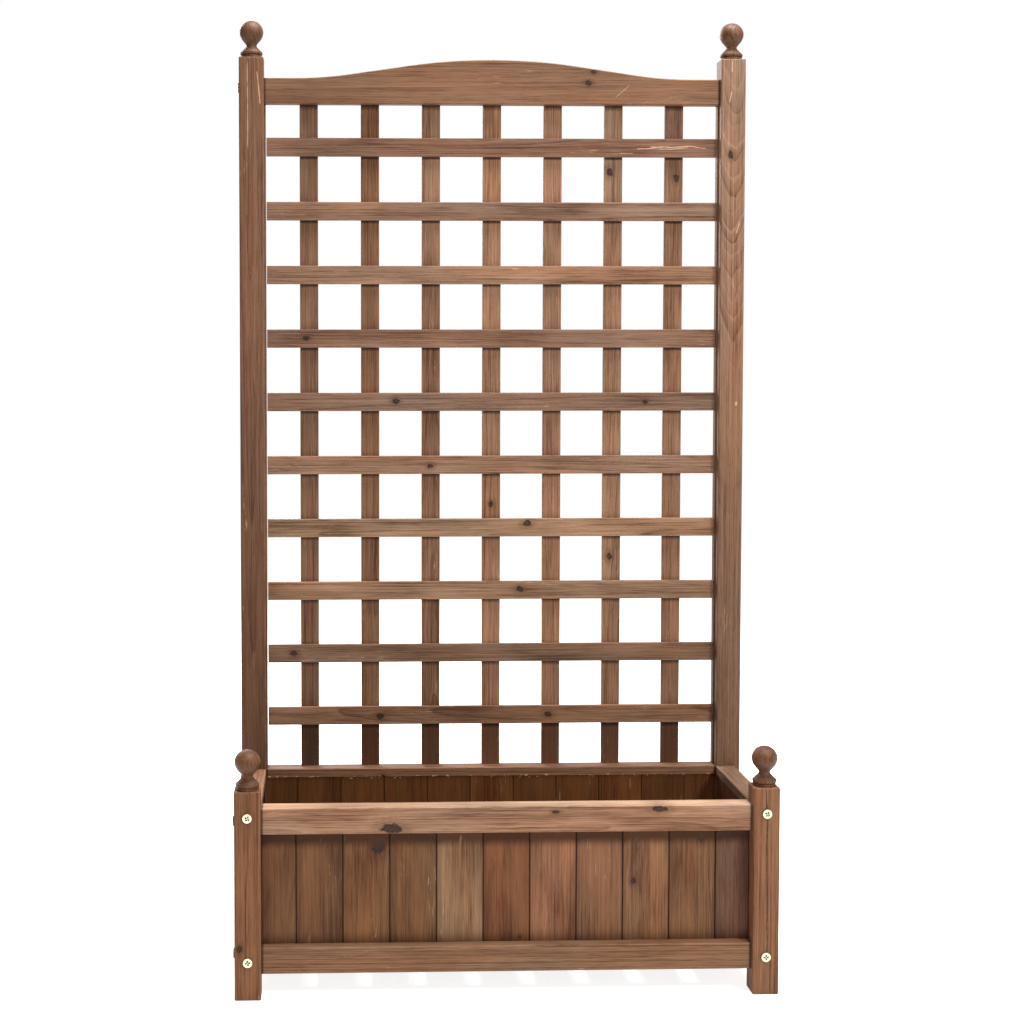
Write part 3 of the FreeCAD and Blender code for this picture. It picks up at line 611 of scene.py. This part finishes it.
# the eight rails, the arched one and the floor's two bearers, all with a painted shadow at their ends
railLooks = {
    # the front top rail's top face has painted light in its tint, the rear top rail's top face painted shade
    "front_top_rail": {
        "tint": "#8c6b54", "otherFace": (2, 1, "#95775e"), "ringGap": 0.0027, "ringDepth": 1.1, "blotchDepth": 2.4,
        "knots": [(-0.1697, 0.2464, 0.0066, 0.5), (-0.163, 0.2450, 0.0036, 0.3),
                  (0.2198, 0.2712, 0.0042, 0.36), (0.0695, 0.2679, 0.0026, 0.5)],
    },
    "front_bottom_rail": {"tint": "#77573f", "ringGap": 0.0028, "ringDepth": 1.1},
    "rear_top_rail": {
        "tint": "#74543e", "otherFace": (2, 1, "#6a4b37"), "fray": (0.2615, 0.2650, 0.60),
        "knots": [(-0.172, 0.262, 0.004)],
    },
    "rear_bottom_rail": {"tint": "#7d5a45"},
    "left_top_rail": {"tint": "#7f5b45", "way": "along y"},
    "right_top_rail": {"tint": "#664d3a", "way": "along y"},
    "left_bottom_rail": {"tint": "#8a654e", "way": "along y"},
    "right_bottom_rail": {"tint": "#866049", "way": "along y"},
    "arched_top_rail": {
        "tint": "#6e4e38", "ringDepth": 0.5, "streakDepth": 2.5, "wobble": 0.004,
        "knots": [(0.157, 1.362, 0.0032), (0.148, 1.345, 0.004)],
        "lines": [("pale", (0.1898, 0.114, 1.3222), 0.0235, 0.86, 0.0009, 0.0006)],
    },
    "floor_bearer_front": {"tint": "#7a5741"},
    "floor_bearer_rear": {"tint": "#7a5741"},
}
for name, look in railLooks.items():
    look = dict({"tip": 1.0}, **look)
    dressNode(name, look.pop("way", "along x"), **look)

# trellis slats: rows from the top down, columns from the left
rowLook = {
    "ringGap": 0.003, "wobble": 0.004, "blotchDepth": 2.4,
    # each row's tint holds its own tone together with painted shade for how the light falls off down the trellis
    "tints": ("#6c4e3c", "#745846", "#7e5e48", "#715543", "#6f5544", "#7c5d48", "#80634c",
              "#81624a", "#6b503d", "#785740"),
    "knots": {
        4: [(-0.2903, 0.9506, 0.0036)], 5: [(-0.1501, 0.8522, 0.0042), (0.2411, 0.8501, 0.003)],
        6: [(-0.0968, 0.7504, 0.0033)], 7: [(0.0559, 0.660, 0.0048)], 8: [(0.0452, 0.5560, 0.0044)],
        9: [(-0.3105, 0.456, 0.0042)], 10: [(-0.1754, 0.3559, 0.0045), (0.0903, 0.3572, 0.0042)],
    },
    "lines": {1: [
        ("pale", (0.224, 0.121, 1.2430), 0.055, 0.11, 0.0011, 0.012),
        ("pale", (0.245, 0.121, 1.2475), 0.075, 0.02, 0.0014, 0.016),
        ("pale", (0.258, 0.121, 1.2440), 0.050, 0.06, 0.0009, 0.014),
        ("pale", (0.300, 0.121, 1.2500), 0.035, -0.12, 0.0010, 0.010),
        ("pale", (0.198, 0.121, 1.2375), 0.022, 0.0, 0.0009, 0.004),
    ]},
}
columnLook = {
    # shades: painted shade darkening the columns' foot; contact: painted shade below each row and below the arched
    # rail
    "ringGap": 0.0028, "blotchDepth": 2.0, "shades": [(0.39, 0.335, 2.1)], "contact": (1.2318, 0.0988, 0.0042, 1.312),
    "tints": ("#684b37", "#6c4b35", "#795741", "#835f47", "#825e47", "#7c5e47", "#75543e"),
    "knots": {
        4: [(0.69, 0.0, 0.0035)], 6: [(1.2095, 0.185, 0.0046), (0.6067, 0.1869, 0.0042)],
        7: [(1.2005, 0.2895, 0.0045)],
    },
}
# the front panel's boards, from the left
boardLook = {
    "ringGap": 0.0036, "ringDepth": 0.5, "earlyDepth": 0.15, "streakDepth": 3.1, "blotchDepth": 3.2, "wobble": 0.007,
    # seam and shades: painted shade at each board's sides, a painted shadow band under the top rail and painted shade
    # towards the bottom rail; joint: dark joints
    "wearWidth": 0.0012, "seam": 1.0, "seamWidth": 0.016, "joint": 0.9,
    "shades": [(0.209, 0.231, 3.1), (0.094, 0.070, 1.2)],
    "tints": ("#64432a", "#62422a", "#6e4b2f", "#63442b", "#795a40", "#694228", "#7d563d", "#6d4a32", "#79563b",
              "#6a482e", "#5f4231"),
    "knots": {
        3: [(0.2156, -0.1859, 0.0085), (0.2230, -0.1835, 0.005)], 6: [(0.08, 0.02, 0.002)],
        9: [(0.1605, 0.1848, 0.0034)], 10: [(0.2243, 0.2844, 0.0052)],
    },
}


def dressSet(nameStart, digits, way, look):
    # like pieces, each with its own tint, knots and lines
    look = dict(look)
    tints, knots, lines = look.pop("tints"), look.pop("knots"), look.pop("lines", {})
    for number, tint in enumerate(tints, start=1):
        dressNode(nameStart + str(number).zfill(digits), way, tint=tint,
                  knots=knots.get(number, ()), lines=lines.get(number, ()), **look)


dressSet("trellis_row_", 2, "along x", rowLook)
dressSet("trellis_column_", 1, "along z", columnLook)
dressSet("front_board_", 2, "along z", boardLook)
for name in ("trellis_batten_left", "trellis_batten_right"):
    dressNode(name, "along z, seen from the side", tint="#62432f")

panelLooks = {
    # each panel's face inside the box has a darker tint: painted shade
    "rear_boards": {
        "way": "along z", "boards": (-0.30465, 0.0677), "tint": "#74513a", "otherFace": (1, -1, "#5a3517"),
        "fray": (0.2600, 0.2640, 0.635), "ringDepth": 0.45, "streakDepth": 1.9, "blotchDepth": 2.2,
    },
    "left_boards": {
        "way": "along z, seen from the side", "boards": (-0.0677, 0.0677), "tint": "#6f4f39",
        "otherFace": (0, 1, "#2c1309"), "ringDepth": 0.5, "shine": 0.03,
    },
    "right_boards": {
        "way": "along z, seen from the side", "boards": (-0.0677, 0.0677), "tint": "#7a5740",
        "otherFace": (0, -1, "#5a3620"), "ringDepth": 0.5, "shine": 0.05,
    },
    "floor_boards": {"way": "along y, flat", "boards": (-0.35635, 0.07919), "tint": "#6b4a37"},
}
for name, look in panelLooks.items():
    look = dict(look)
    dressNode(name, look.pop("way"), **look)
print("wood stained on", sum(1 for o in nodes.values() if o.data.materials), "parts")


def smoothRun(points, steps):
    # a soft curve through the points of one run of a turned profile
    made = []
    for k in range(len(points) - 1):
        a, b, c, d = (Vector(points[max(0, min(len(points) - 1, k + j))]) for j in (-1, 0, 1, 2))
        for s in range(steps):
            t = s / steps
            bend = (2 * a - 5 * b + 4 * c - d) * t * t + (3 * b - a - 3 * c + d) * t ** 3
            made.append(0.5 * (2 * b + (c - a) * t + bend))
    made.append(Vector(points[-1]))
    return made


def circle(radius, level, around):
    angles = [2 * math.pi * k / around for k in range(around)]
    return [(radius * math.cos(angle), radius * math.sin(angle), level) for angle in angles]


def turnProfile(profile, around):
    # vertices and faces of a turned piece on the z axis, profile from the foot up
    vertices, faces, rows = [], [], []
    for radius, height in profile:
        row = [(0, 0, height)] if radius < 1e-7 else circle(radius, height, around)
        rows.append(list(range(len(vertices), len(vertices) + len(row))))
        vertices += row
    for below, above in zip(rows, rows[1:]):
        for k in range(around):
            n = (k + 1) % around
            if len(below) == 1:
                faces.append((below[0], above[n], above[k]))
            elif len(above) == 1:
                faces.append((below[k], below[n], above[0]))
            else:
                faces.append((below[k], below[n], above[n], above[k]))
    return vertices, faces


def addPiece(name, vertices, faces, materials, body="root", sharp=math.radians(38)):
    mesh = bpy.data.meshes.new(name)
    mesh.from_pydata([tuple(v) for v in vertices], [], faces)
    mesh.update()
    for material in materials:
        mesh.materials.append(material)
    piece = bpy.data.objects.new(name, mesh)
    scene.collection.objects.link(piece)
    mesh.shade_smooth()
    mesh.set_sharp_from_angle(angle=sharp)
    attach(piece, body)
    return piece


# turned ball finials, sizes in mm as (radius, height) runs from the foot up
finial = {
    "runs": [
        [(0, 0), (15.7, 0)],
        [(15.7, 0), (16.3, 0.5), (16.3, 3.4), (15.9, 4.0)],
        [(15.9, 4.0), (15.2, 4.4), (15.3, 4.7)],
        [(15.3, 4.7), (16.6, 5.0), (17.25, 6.2), (17.3, 8.2), (16.9, 9.4), (16.1, 9.8)],
        [(16.1, 9.8), (15.4, 10.0)],
        [(15.4, 10.0), (14.0, 11.9), (12.0, 13.9), (9.9, 16.0), (8.5, 18.0), (8.1, 19.4), (8.5, 21.0),
         (10.2, 23.3), (12.5, 25.9), (14.8, 28.8), (16.7, 32.2), (17.9, 35.6), (18.5, 39.2), (18.2, 43.0),
         (17.0, 46.7), (15.0, 50.1), (12.2, 53.1), (8.8, 55.4), (4.6, 57.0), (0, 57.5)],
    ],
    "reach": 18.5, "tall": 57.5, "around": 72, "steps": 4,
    "wood": {"tint": "#5b3a23", "ringGap": 0.0026, "ringDepth": 0.9, "wobble": 0.004, "streakDepth": 2.0,
             "wearWidth": 0.0001, "shine": 0.22, "polish": 0.12},
}
finialProfile = []
for run in finial["runs"]:
    curve = smoothRun(run, finial["steps"]) if len(run) > 3 else [Vector(p) for p in run]
    for point in curve:
        point = (max(0.0, point[0]) * mm, point[1] * mm)
        if not finialProfile or (Vector(point) - Vector(finialProfile[-1])).length > 1e-5:
            finialProfile.append(point)
finialLow = Vector((-finial["reach"], -finial["reach"], 0)) * mm
finialHigh = Vector((finial["reach"], finial["reach"], finial["tall"])) * mm
for post in postLooks:
    low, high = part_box(post)
    foot = Vector(((low.x + high.x) / 2, (low.y + high.y) / 2, high.z))
    vertices, faces = turnProfile(finialProfile, finial["around"])
    name = post.replace("post", "finial")
    dice = random.Random(name)
    material = makeWood(name, foot + finialLow, foot + finialHigh, "along z", **finial["wood"],
                        heart=(dice.uniform(-0.012, 0.012), dice.uniform(0.004, 0.012)),
                        slope=(0.0, dice.uniform(-0.2, 0.2)))
    piece = addPiece(name, [Vector(v) + foot for v in vertices], faces, [material])
    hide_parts("finials")
print("finials turned")

# bolts: a low round head with a crossed recess, and its shank, sizes in mm
bolt = {
    "headRadius": 7.5, "headThick": 2.6, "rimDrop": 0.8, "rimRound": 0.35, "undercut": 0.3, "crown": 0.97,
    "recessLong": 4.5, "recessWide": 1.25, "recessDeep": 1.6, "recessSide": 0.45, "recessEnd": 1.6,
    "recessCore": 1.5, "coreRise": 0.4, "coreLeast": 0.25, "recessFrom": 0.3,
    "shankRadius": 3.0, "shankLong": 80.0, "shankPoint": 1.0, "around": 64, "rings": 22, "shadedRimRings": 5,
}
boltPlaces = {"postAcross": 0.3735, "postDepth": 0.125, "sideFace": 0.144, "endFace": 0.3925,
              "sideLevels": (0.2645, 0.0555), "longLevels": (0.2565, 0.064), "archLevel": 1.337}
brassLook = {
    "light": "#efe3c4", "dark": "#dcc9a4", "speck": "#9c8c64", "speckShare": 0.35, "speckEdge": (0.56, 0.7),
    "fine": 2500, "broad": 260, "metallic": 0.55, "rough": (0.34, 0.5), "bump": 0.15, "bumpHigh": 0.0001,
}
dullMetal = {"patches": 1200, "roughPatches": 900, "metallic": 0.4, "rough": (0.5, 0.7)}


def makeBrass(look):
    material, tree, surface = startMaterial("plated bolt brass")
    spot = makeNode(tree, "ShaderNodeTexCoord").outputs["Object"]
    fine = cloud(tree, spot, (look["fine"],) * 3, 2.0)
    broad = cloud(tree, spot, (look["broad"],) * 3, 2.0)
    colour = blendColour(tree, remap(tree, broad, 0.3, 0.7), linear(look["dark"]), linear(look["light"]))
    specks = remap(tree, fine, *look["speckEdge"], 0.0, look["speckShare"])
    feed(tree, surface.inputs["Base Color"], blendColour(tree, specks, colour, linear(look["speck"])))
    surface.inputs["Metallic"].default_value = look["metallic"]
    feed(tree, surface.inputs["Roughness"], remap(tree, broad, 0.2, 0.8, *look["rough"]))
    addBump(tree, surface, fine, look["bump"], look["bumpHigh"])
    return material


def makeDullMetal(name, dark, light, look=dullMetal):
    material, tree, surface = startMaterial(name)
    spot = makeNode(tree, "ShaderNodeTexCoord").outputs["Object"]
    patches = remap(tree, cloud(tree, spot, (look["patches"],) * 3, 2.0), 0.35, 0.65)
    feed(tree, surface.inputs["Base Color"], blendColour(tree, patches, linear(dark), linear(light)))
    surface.inputs["Metallic"].default_value = look["metallic"]
    rough = cloud(tree, spot, (look["roughPatches"],) * 3, 1.0)
    feed(tree, surface.inputs["Roughness"], remap(tree, rough, 0.3, 0.7, *look["rough"]))
    return material


def share(value):
    return max(0.0, min(1.0, value))


def boltParts(spin):
    # head and shank on the z axis, the underside of the head at z = 0
    around, rings, headRadius = bolt["around"], bolt["rings"], bolt["headRadius"]

    def depth(x, y):
        x, y = x * math.cos(spin) + y * math.sin(spin), y * math.cos(spin) - x * math.sin(spin)
        best = 0.0
        for a, b in ((x, y), (y, x)):
            side = share((bolt["recessWide"] - abs(b)) / bolt["recessSide"])
            reach = share((bolt["recessLong"] - abs(a)) / bolt["recessEnd"])
            best = max(best, side * reach)
        core = share(math.hypot(x, y) / bolt["recessCore"] - bolt["coreRise"])
        return best * max(bolt["coreLeast"], core)

    def height(x, y):
        away = math.hypot(x, y) / headRadius
        return bolt["headThick"] - bolt["rimDrop"] * away ** 4 - bolt["recessDeep"] * depth(x, y)

    vertices, deep, faces = [(0, 0, height(0, 0))], [1.0], []
    for ring in range(1, rings + 1):
        for x, y, _ in circle(headRadius * bolt["crown"] * ring / rings, 0, around):
            vertices.append((x, y, height(x, y)))
            deep.append(depth(x, y))
    outline = [(headRadius, bolt["headThick"] - bolt["rimDrop"] - bolt["rimRound"]),
               (headRadius, bolt["undercut"]), (headRadius - bolt["undercut"], 0.0),
               (bolt["shankRadius"], 0.0), (bolt["shankRadius"], bolt["shankPoint"] - bolt["shankLong"]),
               (bolt["shankRadius"] - bolt["shankPoint"], -bolt["shankLong"])]
    for radius, level in outline:
        vertices += circle(radius, level, around)
        deep += [0.0] * around
    for k in range(around):
        faces.append((0, 1 + k, 1 + (k + 1) % around))
    for ring in range(rings + len(outline) - 1):
        inner, outer = 1 + ring * around, 1 + (ring + 1) * around
        for k in range(around):
            n = (k + 1) % around
            faces.append((inner + k, outer + k, outer + n, inner + n))
    last = len(vertices) - around
    faces.append(tuple(last + k for k in reversed(range(around))))
    # 0 for the plating, 1 for the recess, 2 for the rim, painted dark as shade
    finish = [1 if sum(deep[v] for v in face) / len(face) > bolt["recessFrom"] else 0 for face in faces]
    rimFrom = (rings - 2) * around
    for number in range(rimFrom, rimFrom + bolt["shadedRimRings"] * around):
        finish[number] = 2
    return vertices, faces, finish


boltBrass = makeBrass(brassLook)
# the rim's dark metal is painted shade round the edge of each head
boltFinishes = [boltBrass, makeDullMetal("bolt recess", "#33372a", "#6f6b4e"),
                makeDullMetal("bolt rim painted shade", "#4a3020", "#6b4c34")]
# each bolt's place under its head, and which way it faces
sideFace, endFace, postDepth = boltPlaces["sideFace"], boltPlaces["endFace"], boltPlaces["postDepth"]
boltRows = {
    "side_rail_bolts": [((postSide * boltPlaces["postAcross"], face * sideFace, level), (0, face, 0))
                        for face in (-1, 1) for postSide in (-1, 1) for level in boltPlaces["sideLevels"]],
    "long_rail_bolts": [((face * endFace, postSide * postDepth, level), (face, 0, 0))
                        for face in (-1, 1) for postSide in (-1, 1) for level in boltPlaces["longLevels"]],
    "arched_rail_bolts": [((face * endFace, postDepth, boltPlaces["archLevel"]), (face, 0, 0)) for face in (-1, 1)],
}
for node, places in boltRows.items():
    vertices, faces, finishes = [], [], []
    dice = random.Random(node)
    for place, outward in places:
        turn = Vector(outward).to_track_quat("Z", "Y").to_matrix()
        some, faceSet, finishSet = boltParts(dice.uniform(0, math.pi / 2))
        start = len(vertices)
        vertices += [turn @ (Vector(v) * mm) + Vector(place) for v in some]
        faces += [tuple(start + i for i in face) for face in faceSet]
        finishes += finishSet
    piece = addPiece("turned_" + node, vertices, faces, boltFinishes)
    for polygon, finish in zip(piece.data.polygons, finishes):
        polygon.material_index = finish
    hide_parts(node)
setMaterial(nodes["finial_dowel_screws"], boltBrass)
print("bolts set in")

# nails that hold the slats together, driven from behind, sizes in mm
nail = {
    "headRadius": 1.7, "headProud": 0.35, "headShoulder": 0.6, "headCrown": 0.8, "neck": 0.3,
    "shankRadius": 0.8, "shankLong": 11.0, "point": 1.5, "around": 20, "stray": 1.6,
    "columnPitch": 95.1, "columns": 7, "rowFirst": 1246.0, "rowPitch": 98.8, "rows": 10,
    "railLevels": (267.0, 1322.0), "face": 136.0, "aside": 5.0,
}
nailProfile = [
    (0.0, -nail["shankLong"]), (nail["shankRadius"], nail["point"] - nail["shankLong"]),
    (nail["shankRadius"], -nail["neck"]), (nail["headRadius"], 0.0),
    (nail["headRadius"], nail["headProud"] * nail["headShoulder"]),
    (nail["headRadius"] * nail["headCrown"], nail["headProud"]), (0.0, nail["headProud"]),
]
nailSpots = []
for number in range(nail["columns"]):
    across = (number - (nail["columns"] - 1) / 2) * nail["columnPitch"]
    nailSpots += [(across, nail["rowFirst"] - row * nail["rowPitch"]) for row in range(nail["rows"])]
    nailSpots += [(across + side * nail["aside"], level) for side in (-1, 1) for level in nail["railLevels"]]
oneNail, oneNailFaces = turnProfile([(r * mm, h * mm) for r, h in nailProfile], nail["around"])
nailVertices, nailFaces = [], []
dice = random.Random("nails")
for across, level in nailSpots:
    across += dice.uniform(-nail["stray"], nail["stray"])
    level += dice.uniform(-nail["stray"], nail["stray"])
    start = len(nailVertices)
    nailVertices += [(x + across * mm, z + nail["face"] * mm, -y + level * mm) for x, y, z in oneNail]
    nailFaces += [tuple(start + i for i in face) for face in oneNailFaces]
nails = addPiece("trellis_nails", nailVertices, nailFaces, [makeDullMetal("nail steel", "#6b6a68", "#a09c95")])
print("nails driven:", len(nailSpots))

# stage: a pale floor that stays white in the picture, and soft lamps
stageLook = {
    "worldLight": 0.17, "floorWhite": 0.82, "floorGlow": 0.86, "floorRough": 0.9, "floorReach": 12,
    "keyPlace": (1.6, -2.0, 2.4), "keyAim": (0.0, 0.0, 0.75), "keySize": 0.7, "keyPower": 76,
    "fillPlace": (-1.2, -3.6, 0.9), "fillAim": (0.0, 0.0, 0.6), "fillSize": 2.4, "fillPower": 6,
    "topPlace": (0.3, -0.2, 3.4), "topAim": (0.0, 0.0, 0.3), "topSize": 1.6, "topPower": 190,
    "backPlace": (-1.2, 2.8, 2.2), "backAim": (0.0, 0.0, 0.7), "backSize": 2.0, "backPower": 120,
}


def seenDirectly(tree):
    path = makeNode(tree, "ShaderNodeLightPath").outputs
    return larger(tree, larger(tree, path["Is Camera Ray"], path["Is Glossy Ray"]), path["Is Transmission Ray"])


def lightWorld(look):
    world = bpy.data.worlds.new("studio")
    scene.world = world
    world.use_nodes = True
    tree = world.node_tree
    back = tree.nodes["Background"].inputs
    feed(tree, back["Color"], (1, 1, 1, 1))
    feed(tree, back["Strength"], remap(tree, seenDirectly(tree), 0.0, 1.0, look["worldLight"], 1.0, smooth=False))


def layFloor(look):
    mesh = bpy.data.meshes.new("studio floor")
    reach, shade = look["floorReach"], look["floorWhite"]
    corners = [(-reach, -reach, 0), (reach, -reach, 0), (reach, reach, 0), (-reach, reach, 0)]
    mesh.from_pydata(corners, [], [(0, 1, 2, 3)])
    floor = bpy.data.objects.new("studio floor", mesh)
    scene.collection.objects.link(floor)
    material, tree, surface = startMaterial("studio floor")
    surface.inputs["Base Color"].default_value = (shade, shade, shade, 1)
    surface.inputs["Roughness"].default_value = look["floorRough"]
    surface.inputs["Specular IOR Level"].default_value = 0.0
    surface.inputs["Emission Color"].default_value = (1, 1, 1, 1)
    feed(tree, surface.inputs["Emission Strength"], times(tree, seenDirectly(tree), look["floorGlow"]))
    mesh.materials.append(material)


def hangLamp(kind, look):
    data = bpy.data.lights.new(kind + " lamp", "AREA")
    data.shape = "DISK"
    data.size = look[kind + "Size"]
    data.energy = look[kind + "Power"]
    lamp = bpy.data.objects.new(kind + " lamp", data)
    lamp.location = look[kind + "Place"]
    aim = Vector(look[kind + "Aim"]) - Vector(look[kind + "Place"])
    lamp.rotation_euler = aim.to_track_quat("-Z", "Y").to_euler()
    scene.collection.objects.link(lamp)


lightWorld(stageLook)
layFloor(stageLook)
for kind in ("key", "fill", "top", "back"):
    hangLamp(kind, stageLook)
print("stage lit")
